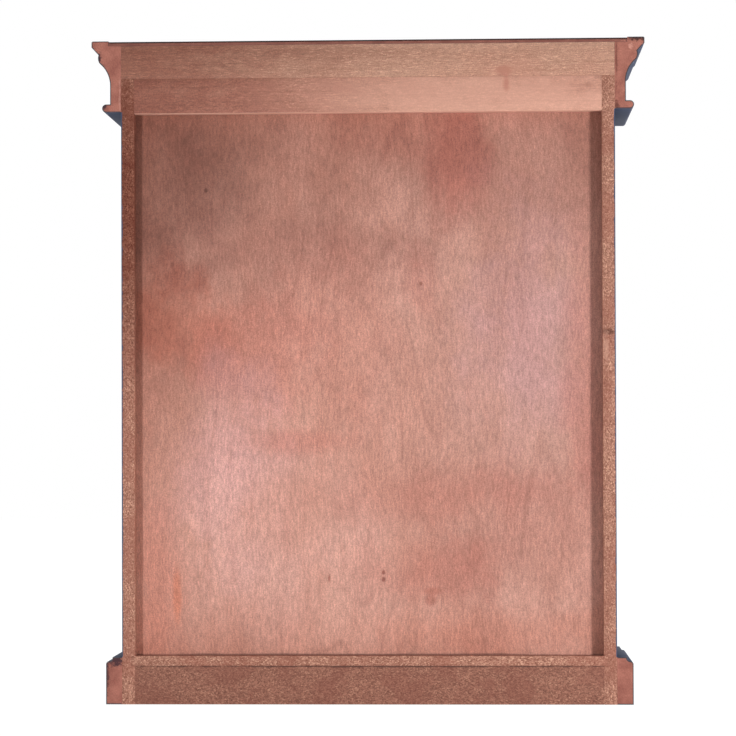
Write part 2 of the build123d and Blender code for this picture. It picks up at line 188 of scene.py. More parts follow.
print("mid grey in linear light:", round(colour(128, 128, 128)[0], 3))

# %% [markdown]
# ## The start of every finish
# A finish begins with a material, its one surface shader and the place on the cabinet. Relief
# comes from a Bump node with a depth in metres: real displacement would need far more faces, and
# fibres this fine never show in an outline. Blots are stains and knots that the photograph
# shows: an ellipse whose edge is made uneven by noise, so that no blot looks drawn.

# %% A new finish, its relief and its blots
def new_finish(name, roughness, metallic=0.0):
    """A material, with its tree, its surface shader and the place on the object in metres."""
    material = bpy.data.materials.new(name)
    material.use_nodes = True
    tree = material.node_tree
    surface = tree.nodes["Principled BSDF"]
    surface.inputs["Roughness"].default_value = roughness
    surface.inputs["Metallic"].default_value = metallic
    place = put(tree, "ShaderNodeTexCoord").outputs["Object"]
    return material, tree, surface, place


def relief(tree, surface, height, depth):
    """Let the light see small hills and pits of that depth in metres."""
    bump = put(tree, "ShaderNodeBump", {"Height": height, "Strength": 1.0, "Distance": depth})
    tree.links.new(bump.outputs[0], surface.inputs["Normal"])


def plain_finish(name, tone, roughness, metallic=0.0, dapple=0.04):
    """One colour with a trace of unevenness, which keeps large views from looking like plastic."""
    material, tree, surface, place = new_finish(name, roughness, metallic)
    uneven = noise(tree, place, (140, 140, 140), 4.0, 0.6)
    darker = tuple(level * (1 - 2 * dapple) for level in tone[:3]) + (1.0,)
    tree.links.new(mix(tree, uneven, darker, tone), surface.inputs["Base Color"])
    return material


def axis(tree, place, letter):
    """One coordinate of a place, by its letter."""
    return put(tree, "ShaderNodeSeparateXYZ", {"Vector": place}).outputs[letter]


def spot(tree, place, mark, wobble, soft=0.4, ragged=1.2):
    """1 inside an uneven blot, 0 outside. The mark is (column, row, half width, half height) in pixels."""
    column, row, half_width, half_height = mark
    reach = Vector((half_width * PIXEL, 1.0, half_height * PIXEL))
    moved = put(tree, "ShaderNodeMapping", {
        "Vector": place,
        "Location": (-photo_x(column) / reach.x, 0, -photo_z(row) / reach.z),
        "Scale": (1 / reach.x, 0, 1 / reach.z),
    })
    distance = put(tree, "ShaderNodeVectorMath", {0: moved.outputs[0]}, operation="LENGTH").outputs["Value"]
    uneven = calc(tree, "MULTIPLY_ADD", wobble, 2 * ragged, -ragged)
    edge = calc(tree, "ADD", distance, uneven)
    return calc(tree, "SUBTRACT", 1.0, rise(tree, edge, 1.0 - soft, 1.0 + soft))


def blots(tree, place, tone, named, wobble, soft=0.4, ragged=1.2, blend="MIX"):
    """Lay named blots on a colour in turn. Each is (mark, the blot's colour, how strong it is)."""
    for mark, blot_tone, strength in (named or {}).values():
        amount = calc(tree, "MULTIPLY", spot(tree, place, mark, wobble, soft, ragged), strength)
        tone = mix(tree, amount, tone, blot_tone, blend)
    return tone


def slate_paint(tree, place):
    """The colour of the paint, a little uneven as sprayed paint is."""
    cloud = noise(tree, place, (30, 30, 30), 3.0, 0.5)
    return mix(tree, cloud, colour(70, 77, 98), colour(80, 87, 110))


print("helpers ready")

# %% [markdown]
# ## Raw wood
# Behind, the maker left the wood bare, and a reddish stain drifted over it when the front was
# sprayed. The rails are solid wood with long grain. The sides, the floor and the base rail are
# particle board: pressed chips, dark and pale. Each is a function that returns a colour and a
# height, so that a painted board can use it for its one bare edge. Long grain is noise that is
# stretched along the rail: many cells to the metre across it, and few along it.

# %% Solid wood
def solid_wood(tree, place, offset=(0, 0, 0)):
    """Long grain along the rail: (colour, height)."""
    figure = noise(tree, place, (1.6, 26, 26), 4.0, 0.55, offset)
    lines = noise(tree, place, (8, 300, 300), 3.0, 0.6, offset)
    fibres = noise(tree, place, (150, 900, 900), 2.0, 0.6, offset)
    speck = noise(tree, place, (760, 760, 760), 1.0, 0.5, offset)
    mist = noise(tree, place, (7, 7, 9), 4.0, 0.6, offset)
    wood = mix(tree, rise(tree, figure, 0.30, 0.70), colour(176, 122, 104), colour(204, 152, 132))
    wood = glaze(tree, wood, colour(184, 122, 104), rise(tree, mist, 0.42, 0.64), 0.45)
    wood = glaze(tree, wood, colour(150, 98, 80), rise(tree, lines, 0.52, 0.68), 0.32)
    wood = glaze(tree, wood, colour(224, 176, 154), rise(tree, fibres, 0.58, 0.68), 0.40)
    wood = shade(tree, wood, fibres, 0.42)
    wood = shade(tree, wood, speck, 0.50)
    return wood, calc(tree, "SUBTRACT", 1.0, lines)


print("solid wood ready")

# %% [markdown]
# ## Pressed chips
# Particle board is chips of wood pressed with glue, so its cut edge is a patchwork. A Voronoi
# texture gives each cell a colour of its own, which is just that. Noise alone would look like
# sand, because it has no flat patches with clear borders.

# %% Particle board
def chip_board(tree, place, chip_size=(640, 900, 900), offset=(0, 0, 0)):
    """Pressed chips, so many to the metre along each axis: (colour, height)."""
    scaled = put(tree, "ShaderNodeMapping", {"Vector": place, "Scale": chip_size, "Location": offset})
    chips = put(tree, "ShaderNodeTexVoronoi", {"Vector": scaled.outputs[0], "Scale": 1.0, "Randomness": 1.0})
    chip = put(tree, "ShaderNodeSeparateColor", {"Color": chips.outputs["Color"]}).outputs[0]
    dust = noise(tree, place, (520, 520, 520), 3.0, 0.7, offset)
    mist = noise(tree, place, (22, 22, 22), 4.0, 0.6, offset)
    board = mix(tree, chip, colour(138, 92, 77), colour(202, 150, 129))
    board = mix(tree, rise(tree, chip, 0.88, 0.95), board, colour(214, 166, 142))
    board = glaze(tree, board, colour(96, 56, 46), rise(tree, dust, 0.54, 0.66), 0.55)
    board = glaze(tree, board, colour(150, 92, 78), rise(tree, mist, 0.44, 0.60), 0.40)
    return board, calc(tree, "SUBTRACT", chip, dust)


print("particle board ready")

# %% [markdown]
# ## The back panel's veneer
# The back is thin plywood, whose face was peeled from a log, so its grain runs up and down in
# fine broken ripples. The stain lies on it in clouds, pale and pink lower down. Each cloud is
# named and put where the photo shows it, and noise gives it its edge and the grain within it.
# The upper left, the left edge, the top, the foot and the right half are darkened by painted
# shade where the light falls off; at the upper left it is partly stain too. The shadows
# multiply the colour. The face inside the cabinet has the same paint as the shelves.

# %% Where the photo shows blots on the back
# Painted shade: these darken the back where the light falls off; the upper left one is partly stain.
veneer_shadows = {
    "brown haze at the upper left": ((120, 110, 200, 230), colour(206, 196, 192), 1.0),
    "dim left edge": ((125, 240, 70, 240), colour(222, 204, 196), 0.9),
    "dim top": ((368, 80, 330, 110), colour(220, 202, 194), 0.8),
    "dim foot": ((368, 700, 330, 60), colour(232, 214, 206), 0.8),
    "cool right half": ((560, 330, 150, 300), colour(226, 226, 228), 1.0),
}
veneer_clouds = {
    "red cloud, upper right": ((458, 162, 22, 62), colour(186, 102, 88), 0.5),
    "its faint head": ((410, 135, 70, 22), colour(188, 118, 102), 0.35),
    "grey patch, upper left": ((195, 205, 60, 50), colour(166, 122, 110), 0.45),
    "brown band, upper left": ((250, 250, 120, 34), colour(170, 116, 102), 0.45),
    "dark red, left": ((178, 276, 24, 22), colour(166, 96, 80), 0.45),
    "orange glow, left": ((182, 325, 50, 44), colour(200, 114, 88), 0.45),
    "pink glow, left": ((262, 345, 70, 50), colour(202, 124, 108), 0.4),
    "small red cloud, middle": ((425, 295, 18, 30), colour(182, 108, 94), 0.35),
    "rosy patch, middle": ((345, 330, 60, 80), colour(196, 132, 116), 0.35),
    "lilac patch, right": ((515, 330, 46, 90), colour(214, 164, 162), 0.5),
    "lilac patch, left": ((225, 470, 44, 70), colour(218, 168, 164), 0.6),
    "pale patch, lower left": ((270, 540, 80, 70), colour(216, 168, 156), 0.45),
    "red streak, lower left": ((300, 442, 44, 10), colour(188, 114, 100), 0.4),
    "tan patch, lower left": ((290, 510, 40, 30), colour(188, 130, 108), 0.35),
    "red cloud, lower right": ((470, 494, 100, 24), colour(182, 112, 96), 0.42),
    "rosy patch, lower right": ((540, 520, 60, 60), colour(192, 124, 108), 0.35),
    "red cloud at the right edge": ((585, 380, 16, 100), colour(196, 120, 106), 0.4),
    "red cloud, foot": ((430, 572, 56, 26), colour(178, 104, 88), 0.45),
    "orange foot, right": ((500, 634, 110, 20), colour(200, 128, 106), 0.4),
    "orange foot, left": ((156, 600, 22, 70), colour(200, 124, 104), 0.4),
}
veneer_marks = {
    "orange drip": ((175, 598, 4, 26), colour(200, 112, 78), 0.45),
    "knot, lower part": ((430, 601, 6, 6), colour(150, 86, 72), 0.6),
    "knot, upper part": ((432, 592, 9, 4), colour(160, 92, 76), 0.5),
    "double pip, upper": ((382.5, 573, 1.8, 2.2), colour(120, 62, 52), 0.8),
    "double pip, lower": ((382.5, 580, 2.0, 2.6), colour(128, 66, 56), 0.8),
    "pip, upper left": ((205, 189, 1.6, 2.2), colour(96, 54, 46), 0.8),
    "pip, foot": ((328, 579, 1.2, 4.5), colour(140, 74, 62), 0.8),
    "pip, middle": ((421, 284, 1.6, 2.0), colour(130, 72, 60), 0.7),
    # A painted shadow in the joint above the floor panel.
    "painted shadow above the floor panel": ((368, 655.5, 240, 1.3), colour(82, 50, 44), 0.7),
}

print("on the back panel:", len(veneer_clouds), "clouds and", len(veneer_marks), "marks")

# %% [markdown]
# ## The veneer itself
# Ripples are short dark pores along the grain, and streaks are wider bands. Both read a place
# that is bent a little sideways by slow noise, because grain on a real sheet wanders. The figure
# is the flame that a knife leaves where it cuts through growth rings: contour lines of a slow
# noise, which a ping-pong of its value gives.

# %% Plywood back
VENEER_PORE_DEPTH = 0.14 * MILLIMETRE
GRAIN_BEND = (0.03, 0, 0)
RING_COUNT = 22

veneer, tree, surface, place = new_finish("raw veneer with drifted stain", 0.78)
bend = put(tree, "ShaderNodeTexNoise", {"Vector": place, "Scale": 5.0, "Detail": 1.0}).outputs["Color"]
bent = put(tree, "ShaderNodeVectorMath", {0: bend, 1: GRAIN_BEND, 2: place},
           operation="MULTIPLY_ADD").outputs[0]
broad = noise(tree, place, (9, 9, 4), 5.0, 0.6)
streaks = noise(tree, bent, (70, 70, 8), 4.0, 0.65)
ripples = noise(tree, bent, (480, 480, 100), 3.0, 0.7)
speck = noise(tree, place, (800, 800, 620), 1.0, 0.5)
wobble = noise(tree, place, (14, 14, 11), 5.0, 0.6)
mottle = noise(tree, place, (40, 40, 24), 4.0, 0.65)
growth = calc(tree, "MULTIPLY", noise(tree, bent, (8, 8, 1.5), 1.0), RING_COUNT)
rings = calc(tree, "PINGPONG", growth, 1)
patches = rise(tree, noise(tree, place, (10, 10, 6), 2.0), 0.46, 0.62)
figure = calc(tree, "MULTIPLY", calc(tree, "SUBTRACT", 1.0, rise(tree, rings, 0.0, 0.22)), patches)
sheet = mix(tree, rise(tree, broad, 0.28, 0.72), colour(188, 133, 116), colour(205, 154, 138))
sheet = blots(tree, place, sheet, veneer_clouds, wobble, 0.8, 1.8)
sheet = glaze(tree, sheet, colour(160, 104, 90), rise(tree, streaks, 0.48, 0.74), 0.22)
sheet = glaze(tree, sheet, colour(140, 88, 76), figure, 0.24)
# Painted shade, multiplied over the stain.
sheet = blots(tree, place, sheet, veneer_shadows, wobble, 1.0, 0.6, "MULTIPLY")
sheet = blots(tree, place, sheet, veneer_marks, wobble, 0.5, 0.8)
for swing, fleck in ((0.16, mottle), (0.55, ripples), (0.45, speck)):
    sheet = shade(tree, sheet, fleck, swing)
inside_face = calc(tree, "LESS_THAN", axis(tree, place, "Y"), RECESS_Y - MILLIMETRE)
sheet = mix(tree, inside_face, sheet, slate_paint(tree, place))
tree.links.new(sheet, surface.inputs["Base Color"])
relief(tree, surface, calc(tree, "SUBTRACT", 1.0, ripples), VENEER_PORE_DEPTH)
print("veneer ready:", len(tree.nodes), "nodes")

# %% [markdown]
# ## Raw rails
# The upper rail and the hanging rail are two strips of solid wood, one above the other. They
# come from different boards, so each has its own stretch of grain. Both are darker at the
# image's left: painted shade, where the light falls off. The hanging rail's underside is made
# pale: painted light, as if lit from below. A knot shows at the upper one's lower edge.

# %% Rail finishes
# Painted shade: the rails are darker at the image's left, where the light falls off.
rail_shadows = {"stain at the image's left": ((90, 80, 190, 300), colour(196, 166, 160), 1.0)}
rail_marks = {
    "knot on the joint": ((505, 73, 7, 4.5), colour(150, 84, 70), 0.6),
    "its tail": ((507, 84, 3, 7), colour(172, 104, 86), 0.6),
    "its ring": ((516, 72, 26, 9), colour(182, 128, 108), 0.35),
    "dark end of the hanging rail": ((614.4, 108, 1.5, 4), colour(70, 42, 38), 0.8),
}
HANGING_RAIL_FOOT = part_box("hanging_rail")[0].z + 0.3 * MILLIMETRE
GRAIN_DEPTH = 0.10 * MILLIMETRE
pale_middle = {"pale stretch": ((480, 98, 170, 30), colour(212, 160, 140), 0.6)}


def rail_finish(name, offset, cast, more_blots=None):
    """A rail's wood, with a cast that is multiplied over all of it."""
    material, tree, surface, place = new_finish(name, 0.75)
    wood, height = solid_wood(tree, place, offset)
    wood = mix(tree, 1.0, wood, cast, "MULTIPLY")
    wobble = noise(tree, place, (30, 30, 60), 4.0, 0.6)
    wood = blots(tree, place, wood, more_blots, wobble, 0.7)
    # Painted shade at the image's left, multiplied over the wood.
    wood = blots(tree, place, wood, rail_shadows, wobble, 0.9, 0.6, "MULTIPLY")
    wood = blots(tree, place, wood, rail_marks, wobble, 0.6, 1.6)
    # Painted light: the hanging rail's underside is made pale, as if lit from below.
    painted_light_underside = calc(tree, "LESS_THAN", axis(tree, place, "Z"), HANGING_RAIL_FOOT)
    wood = mix(tree, painted_light_underside, wood, colour(218, 166, 146))
    tree.links.new(wood, surface.inputs["Base Color"])
    relief(tree, surface, height, GRAIN_DEPTH)
    return material


upper_rail_wood = rail_finish("raw wood of the upper rail", (0.0, 0.0, 0.0), colour(238, 248, 242))
hanging_rail_wood = rail_finish("raw wood of the hanging rail", (3.1, 1.7, 5.2), colour(231, 227, 223),
                                pale_middle)

print("raw rails ready")

# %% [markdown]
# ## The base rail
# The strip at the foot is particle board, bare on its whole rear face. The floor panel lies on
# it, and a painted shadow in the joint between them shows as a thin dark line, one more blot.

# %% Base rail finish
CHIP_DEPTH = 0.14 * MILLIMETRE

base_rail_board, tree, surface, place = new_finish("raw particle board of the base rail", 0.85)
board, height = chip_board(tree, place)
board = mix(tree, 1.0, board, colour(214, 200, 194), "MULTIPLY")
wobble = noise(tree, place, (60, 60, 60), 4.0, 0.6)
# A painted shadow in the joint under the floor panel.
joint_shadow = {"painted shadow under the floor panel": ((390, 665.5, 232, 1.3), colour(64, 38, 34), 0.7)}
board = blots(tree, place, board, joint_shadow, wobble)
tree.links.new(board, surface.inputs["Base Color"])
relief(tree, surface, height, CHIP_DEPTH)
print("base rail ready")

# %% [markdown]
# ## Paint
# All that shows from the front is sprayed a slate blue-grey, and the paint stops at the back.
# There each board shows what it is made of, and only a thin dark line of paint creeps round the
# outer edge. So a painted board has two finishes in one tree, and the switch between them is
# where the point lies: far enough back, and not too near the outer side. A little noise in the
# switch lets the line wander, as sprayed paint does. Where the mouldings cover the side board
# there is no such line.

# %% Painted boards with bare wood behind
SIDE_BARE_FROM = RECESS_Y - 0.5 * MILLIMETRE
PAINT_LINE = 1.3 * MILLIMETRE
PAINT_RELIEF = 0.05 * MILLIMETRE
PAINT_GLOSS = 0.04
PAINT_ROUGHNESS = 0.5
BARE_ROUGHNESS = 0.8
CROWN_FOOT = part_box("crown_left")[0].z
BASE_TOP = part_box("base_moulding_left")[1].z


def painted(name, bare=None, bare_from=REAR_Y - 0.2 * MILLIMETRE, marks=None, shadows=None):
    """Slate paint, with bare wood behind a plane and inside the line of paint along the side."""
    material, tree, surface, place = new_finish(name, PAINT_ROUGHNESS)
    surface.inputs["Specular IOR Level"].default_value = PAINT_GLOSS
    tone = slate_paint(tree, place)
    height = noise(tree, place, (700, 700, 700), 2.0, 0.5)
    if bare:
        wood, wood_height = bare(tree, place)
        wobble = noise(tree, place, (220, 220, 220), 3.0, 0.6)
        # Painted shade, where shadows are given, multiplied over the bare wood.
        wood = blots(tree, place, wood, shadows, wobble, 0.9, 0.6, "MULTIPLY")
        wood = blots(tree, place, wood, marks, wobble, 0.6, 2.0)
        creep = noise(tree, place, (90, 90, 90), 3.0, 0.6)
        line = calc(tree, "MULTIPLY_ADD", creep, -2 * PAINT_LINE, SIDE_X)
        from_middle = calc(tree, "ABSOLUTE", axis(tree, place, "X"))
        height_up = axis(tree, place, "Z")
        covered = calc(tree, "MAXIMUM", calc(tree, "GREATER_THAN", height_up, CROWN_FOOT),
                       calc(tree, "LESS_THAN", height_up, BASE_TOP))
        inside = calc(tree, "MAXIMUM", calc(tree, "LESS_THAN", from_middle, line), covered)
        behind = calc(tree, "GREATER_THAN", axis(tree, place, "Y"), bare_from)
        raw = calc(tree, "MULTIPLY", behind, inside)
        tone = mix(tree, raw, tone, wood)
        roughness = calc(tree, "MULTIPLY_ADD", raw, BARE_ROUGHNESS - PAINT_ROUGHNESS, PAINT_ROUGHNESS)
        tree.links.new(roughness, surface.inputs["Roughness"])
        height = calc(tree, "MULTIPLY_ADD", calc(tree, "MULTIPLY", wood_height, raw), 3.0, height)
    tree.links.new(tone, surface.inputs["Base Color"])
    relief(tree, surface, height, PAINT_RELIEF)
    return material


print("side boards are bare for", round((REAR_Y - SIDE_BARE_FROM) / MILLIMETRE, 1), "mm at the rear")

# %% [markdown]
# ## What shows behind the paint
# A moulding shows its cut end, which is smooth and redder than the rails. The top board's edge is
# grimy. The side boards stand, so their chips stand too. The marks are drips and rubs of dark
# paint, a filled nail hole, a chipped corner and a painted shadow in one joint, each where the
# photo has it. The side board at the image's left also gets painted shade in its upper part.

# %% Bare ends and the painted finishes
def end_grain(tree, place):
    """The cut end of a moulding: smoother and redder than the rails."""
    dapple = noise(tree, place, (60, 60, 60), 5.0, 0.6)
    fibres = noise(tree, place, (800, 800, 500), 2.0, 0.6)
    wood = mix(tree, rise(tree, dapple, 0.3, 0.7), colour(146, 92, 81), colour(172, 113, 99))
    return shade(tree, wood, fibres, 0.45), fibres


def board_end(tree, place):
    """The top board's rear edge, grimy and nearly black along its upper arris."""
    wood, height = end_grain(tree, place)
    wood = mix(tree, 0.5, wood, colour(92, 60, 54))
    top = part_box("top_board")[1].z
    arris = rise(tree, axis(tree, place, "Z"), top - 2.4 * MILLIMETRE, top - 0.9 * MILLIMETRE)
    return mix(tree, arris, wood, colour(44, 34, 36)), height


def standing_chips(tree, place):
    """Chips that lie along an upright board."""
    return chip_board(tree, place, (900, 900, 640), (1.3, 0.4, 2.2))


DARK_PAINT = colour(52, 42, 52)
moulding_marks = {
    "paint on the left collar": ((98.4, 57, 2.0, 5), DARK_PAINT, 0.95),
    "paint on the left bead": ((103.5, 105, 2.6, 2.6), DARK_PAINT, 0.9),
    "grime on the right top corner": ((637, 40.5, 9, 2.6), colour(60, 42, 42), 0.9),
    # A painted shadow in the joint between the upper rail and the right crown end.
    "dark joint, right": ((616.6, 62, 0.8, 22), colour(96, 58, 50), 0.6),
    "pale joint, left": ((119.8, 95, 0.8, 15), colour(206, 156, 140), 0.4),
    "dark foot of the right joint": ((616.5, 108, 2, 3.5), colour(84, 50, 44), 0.7),
    "filled nail hole": ((630, 49, 2.4, 2.2), colour(206, 150, 134), 0.8),
    "paint on the left base": ((112, 660, 16, 5), DARK_PAINT, 0.85),
    "paint down the left base": ((106.5, 675, 1.2, 14), DARK_PAINT, 0.7),
}
side_marks = {
    "chipped corner": ((607, 333, 4, 2.6), colour(84, 50, 42), 0.8),
    "rubbed edge": ((605, 350, 2.5, 14), colour(204, 156, 136), 0.5),
}
# Painted shade: the side board at the image's left is darker in its upper part, where the light falls off.
side_shadows = {"stain down the left side": ((118, 200, 60, 140), colour(182, 156, 150), 1.0)}

painted_moulding = painted("slate paint over solid wood", end_grain, marks=moulding_marks)
painted_side = painted("slate paint over particle board, standing", standing_chips, SIDE_BARE_FROM,
                       side_marks, side_shadows)
painted_board = painted("slate paint over particle board, lying", chip_board, SIDE_BARE_FROM)
painted_top = painted("slate paint on the top board", board_end)
plain_paint = painted("slate paint")
# The rim is real paint; its near-black colour is painted shade along the edge.
paint_rim_with_painted_shade = plain_finish("paint drawn over an edge", colour(38, 34, 42), 0.5)
print("paint ready")

# %% [markdown]
# ## Glass, metal and small hardware
# The mirror is silvered glass, so it is a very smooth metal to the renderer: a real pane with
# silver behind it would cost more light paths and look the same. The hinges and knobs are satin
# nickel: the tiny scratches of brushing spread the reflections, which a roughness of about a
# third gives. Uniform values sit on the shader's own sockets, because the export reads them
# there.

# %% Hardware finishes
mirror_silver = plain_finish("silvered mirror glass", (0.84, 0.86, 0.87, 1.0), 0.015, 1.0, 0.0)
hardboard = plain_finish("hardboard", colour(112, 78, 54), 0.65, 0.0, 0.12)
satin_nickel = plain_finish("satin nickel", (0.60, 0.57, 0.53, 1.0), 0.30, 1.0)
zinc_plate = plain_finish("zinc plated steel", (0.62, 0.63, 0.65, 1.0), 0.34, 1.0, 0.08)
screw_metal = plain_finish("zinc plated screws", (0.58, 0.58, 0.59, 1.0), 0.28, 1.0, 0.06)
pin_metal = plain_finish("nickel plated pins", (0.60, 0.59, 0.56, 1.0), 0.22, 1.0)
catch_shell = plain_finish("moulded catch housing", colour(206, 203, 196), 0.5)
magnet_metal = plain_finish("sintered magnet", colour(52, 52, 56), 0.55, 0.4)
soft_bumper = plain_finish("soft bumper", colour(196, 196, 190), 0.35)
print("hardware finishes ready")

# %% [markdown]
# ## Which piece wears what
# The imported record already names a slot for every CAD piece. Most slots have one finish. The
# painted boards differ by what shows at their rear edge, and the two raw rails by their grain, so
# they are told apart by name.

# %% A finish for each CAD piece
SLOT_FINISH = {
    "painted_wood": plain_paint,
    "raw_particle_board": base_rail_board,
    "plywood": veneer,
    "mirror_glass": mirror_silver,
    "hardboard": hardboard,
    "satin_nickel": satin_nickel,
    "bright_plate": zinc_plate,
    "shelf_pin_steel": pin_metal,
    "catch_plastic": catch_shell,
    "catch_magnet": magnet_metal,
    "bumper_rubber": soft_bumper,
}
NODE_FINISH = {
    "upper_back_rail": upper_rail_wood,
    "hanging_rail": hanging_rail_wood,
    "left_side_panel": painted_side,
    "right_side_panel": painted_side,
    "top_board": painted_top,
}
for name in ("floor_panel", "ceiling_panel", "lower_shelf", "upper_shelf"):
    NODE_FINISH[name] = painted_board
for way in ("left", "front", "right"):
    NODE_FINISH["crown_" + way] = painted_moulding
    NODE_FINISH["base_moulding_" + way] = painted_moulding
slot_of = {row["node"]: row["material_slot"] for row in frame["record"]["subparts"]}
for name, piece in frame["nodes"].items():
    piece.data.materials.clear()
    piece.data.materials.append(NODE_FINISH.get(name) or SLOT_FINISH[slot_of[name]])
print(len(frame["nodes"]), "CAD pieces dressed")

# %% [markdown]
# ## Rounded edges
# No real board has a perfectly sharp edge, and the thin bright or dark line along an edge is what
# tells the eye that boards meet. Each wooden CAD piece is copied, its triangles are merged back
# into whole faces, and a Bevel modifier rounds every edge by a few tenths of a millimetre. Where
# two boards meet, the two small rounds make the fine groove that a glued joint shows.

# %% Rounded copies of the wooden pieces
EDGE_ROUND = 0.45 * MILLIMETRE
MITRE_ROUND = 0.25 * MILLIMETRE
ROUND_STEPS = 2


def new_piece(name, shape, *finishes):
    """An object of its own at the origin, from a bmesh that is then freed."""
    mesh = bpy.data.meshes.new(name)
    shape.to_mesh(mesh)
    shape.free()
    for finish in finishes:
        mesh.materials.append(finish)
    made = bpy.data.objects.new(name, mesh)
    bpy.context.scene.collection.objects.link(made)
    return made


def plain_mesh(piece, name):
    """The piece as its modifiers leave it, as an object of its own at the origin."""
    evaluated = piece.evaluated_get(bpy.context.evaluated_depsgraph_get())
    mesh = bpy.data.meshes.new_from_object(evaluated)
    made = bpy.data.objects.new(name, mesh)
    bpy.context.scene.collection.objects.link(made)
    bpy.data.objects.remove(piece)
    return made


def stand_for(sharp, node, width, smooth_below=30):
    """Round the edges of a sharp piece and let it stand in the place of a CAD node."""
    bevel = sharp.modifiers.new("edge rounding", "BEVEL")
    bevel.width = width
    bevel.segments = ROUND_STEPS
    bevel.limit_method = "ANGLE"
    bevel.angle_limit = radians(35)
    made = plain_mesh(sharp, node + "_rounded")
    made.data.shade_smooth()
    made.data.set_sharp_from_angle(angle=radians(smooth_below))
    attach(made, frame["nodes"][node]["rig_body"])
    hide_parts(node)
    return made


def rounded(node, width):
    """A copy of a CAD piece with rounded edges, which stands in its place."""
    source = frame["nodes"][node]
    shape = bmesh.new()
    shape.from_mesh(source.data)
    bmesh.ops.remove_doubles(shape, verts=shape.verts, dist=0.002 * MILLIMETRE)
    bmesh.ops.dissolve_limit(shape, angle_limit=radians(1), verts=shape.verts, edges=shape.edges)
    return stand_for(new_piece(node + "_whole_faces", shape, source.data.materials[0]), node, width)


WOODEN_SLOTS = ("painted_wood", "raw_solid_wood", "raw_particle_board", "plywood", "hardboard")
rounded_pieces = []
for name in sorted(frame["nodes"]):
    is_moulding = "crown" in name or "moulding" in name
    if slot_of[name] in WOODEN_SLOTS and not is_moulding:
        rounded_pieces.append(rounded(name, MITRE_ROUND if "_door_" in name else EDGE_ROUND))
print(len(rounded_pieces), "wooden pieces have rounded edges,",
      sum(len(piece.data.polygons) for piece in rounded_pieces), "faces")

# %% [markdown]
# ## Mouldings
# The crown and the base moulding show their whole outline in the photo, as raw ends on both
# sides. The CAD pieces have the outline with few facets, so it is drawn again here with finer
# arcs, from the same sizes, and run round the cabinet. A router bit cuts such curves tangent to
# each other, which is why each arc starts in a given direction. A curve object with a bevel
# profile could do it too, but its mitres are harder to control than corners that are worked out.

# %% The outlines of the mouldings
RABBET_WIDTH, RABBET_FLOOR = 15.5, 82


def arc(start, end, heading, steps):
    """An arc from start that leaves it along a heading: (the points after start, last heading)."""
    chord = Vector(end) - Vector(start)
    heading = Vector(heading).normalized()
    sideways = Vector((-heading.y, heading.x))
    centre = Vector(start) + sideways * chord.length_squared / (2 * chord.dot(sideways))
    turn = 2 * atan2(heading.cross(chord), heading.dot(chord))
    points = [centre + Matrix.Rotation(turn * step / steps, 2) @ (Vector(start) - centre)
              for step in range(1, steps + 1)]
    return points, Matrix.Rotation(turn, 2) @ heading


def crown_outline():
    """(out, up) in millimetres: bead, flat band, cove, collar, bevel, top lip and its rabbet."""
    bead, _ = arc((18.5, 0), (18.5, 10), (1, 0), 14)
    cove, _ = arc((13.5, 33), (26.8, 61), (0, 1), 16)
    collar, _ = arc((26.8, 61), (27.8, 71), (0.5, 0.86), 8)
    return [(0, 0), (18.5, 0), *bead, (13.5, 10), (13.5, 33), *cove, *collar, (36.5, 80.5),
            (36.5, 86.8), (35.3, 88), (RABBET_WIDTH, 88), (RABBET_WIDTH, RABBET_FLOOR), (0, RABBET_FLOOR)]


def base_outline():
    """(out, up) in millimetres: a plain face, an ogee of two equal arcs and a small step."""
    swell, heading = arc((20, 49.2), (16, 53.2), (0, 1), 8)
    hollow, _ = arc((16, 53.2), (12, 57.2), heading, 8)
    return [(0, 0), (20, 0), (20, 49.2), *swell, *hollow, (12, 58), (0, 58)]


print("crown outline:", len(crown_outline()), "points; base outline:", len(base_outline()), "points")

# %% [markdown]
# ## Round the cabinet with true mitres
# Each outline is set up twice at a front corner, once for each length that meets there, and both
# copies lie in the mitre's plane because a point moves out as far as it moves forward. The rear
# ends show bare wood with a rim of paint drawn over the edge; its colour is darker than the slate
# paint, as painted shade along the edge. The rim is an inset of the end face, so it is real
# geometry with a finish of its own, and as narrow as in the photo.

# %% Run the mouldings round the cabinet
FRONT_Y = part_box("left_face_stile")[0].y
PAINT_RIM = 1.2 * MILLIMETRE
MOULDING_SMOOTH_BELOW = 34


def is_painted_edge(out, up):
    """Paint reaches the outer edges, not those that are glued to the cabinet or hold the top board."""
    in_rabbet = up > RABBET_FLOOR - 1 and out < RABBET_WIDTH + 1
    return out > 1 and not in_rabbet


def moulding(node, outline, ring_ends, rear_ends):
    """A length between two rings of corners; a rear end gets a rim of paint round its bare wood."""
    shape = bmesh.new()
    rings = [[shape.verts.new(place) for place in ring] for ring in ring_ends]
    count = len(outline)
    for index in range(count):
        after = (index + 1) % count
        shape.faces.new((rings[0][index], rings[0][after], rings[1][after], rings[1][index]))
    caps = [shape.faces.new(ring) for ring in rings]
    bmesh.ops.recalc_face_normals(shape, faces=shape.faces)
    for cap, is_rear in zip(caps, rear_ends):
        if is_rear:
            rim = bmesh.ops.inset_individual(shape, faces=[cap], thickness=PAINT_RIM,
                                             use_even_offset=True)
            for face in rim["faces"]:
                place = face.calc_center_median()
                out, up = abs(place.x) - SIDE_X, place.z - ring_ends[0][0].z
                face.material_index = 1 if is_painted_edge(out / MILLIMETRE, up / MILLIMETRE) else 0
    made = new_piece(node + "_fine_outline", shape, painted_moulding, paint_rim_with_painted_shade)
    return stand_for(made, node, MITRE_ROUND, MOULDING_SMOOTH_BELOW)


